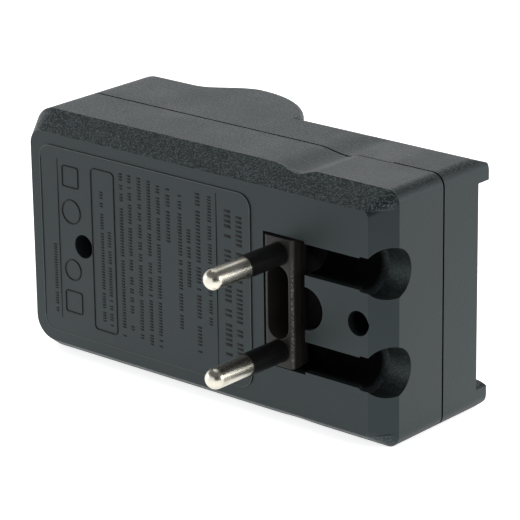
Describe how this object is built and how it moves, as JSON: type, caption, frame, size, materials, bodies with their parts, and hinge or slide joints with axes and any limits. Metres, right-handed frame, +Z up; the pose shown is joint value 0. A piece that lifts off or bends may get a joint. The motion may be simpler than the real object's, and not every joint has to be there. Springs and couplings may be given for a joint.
{
  "type": "battery charger",
  "caption": "Travel battery charger with a fold-out two-pin plug, storage grooves for the pins and a battery bay with contact blades.",
  "frame": {"origin": "middle of the bounding box with the plug folded out, on the resting side (Z = 0)", "axes": "+X along the length towards the end with the finger scoops, +Z up across the width as it stands, -Y the way the folded-out pins point, +Y the battery side"},
  "size_m": [0.091, 0.062, 0.0496],
  "materials": {
    "rear_shell": "fine spark texture, matt",
    "front_shell": "fine spark texture, matt",
    "plug_holder": "smooth, half matt",
    "pin_metal": "nickel plated",
    "pin_sleeve": "satin black",
    "pocket_cover": "matt",
    "contact_spring": "plain",
    "wire": "satin",
    "screw_steel": "zinc plated",
    "board": "solder mask",
    "ferrite": "sintered",
    "winding": "tape",
    "capacitor_blue": "shrink sleeve",
    "capacitor_green": "shrink sleeve",
    "fuse_glass": "clear",
    "epoxy": "moulded",
    "contact_block": "moulded",
    "blade_metal": "plated",
    "lamp": "clear resin",
    "lens": "frosted"
  },
  "bodies": {
    "case": {"rear_shell": "rear_shell", "front_shell": "front_shell", "pocket_cover": "pocket_cover", "plug_contact_upper": "contact_spring", "plug_contact_lower": "contact_spring", "lead_wires": "wire", "case_screws": "screw_steel", "circuit_board": "board", "transformer_core": "ferrite", "transformer_winding": "winding", "input_capacitor": "capacitor_blue", "output_capacitor": "capacitor_green", "line_fuse": "fuse_glass", "bridge_rectifier": "epoxy", "switch_transistor": "epoxy", "contact_block": "contact_block", "contact_positive": "blade_metal", "contact_sense": "blade_metal", "contact_negative": "blade_metal", "status_lamp": "lamp", "lamp_lens": "lens"},
    "plug": {"plug_holder": "plug_holder", "pin_upper": "pin_metal", "pin_lower": "pin_metal", "sleeve_upper": "pin_sleeve", "sleeve_lower": "pin_sleeve"}
  },
  "joints": [
    {"name": "plug_fold", "type": "hinge", "parent": "case", "child": "plug", "pos_m": [0.0213, -0.00745, 0.0248], "axis": [0, 0, 1], "range_deg": [0, 90]}
  ]
}
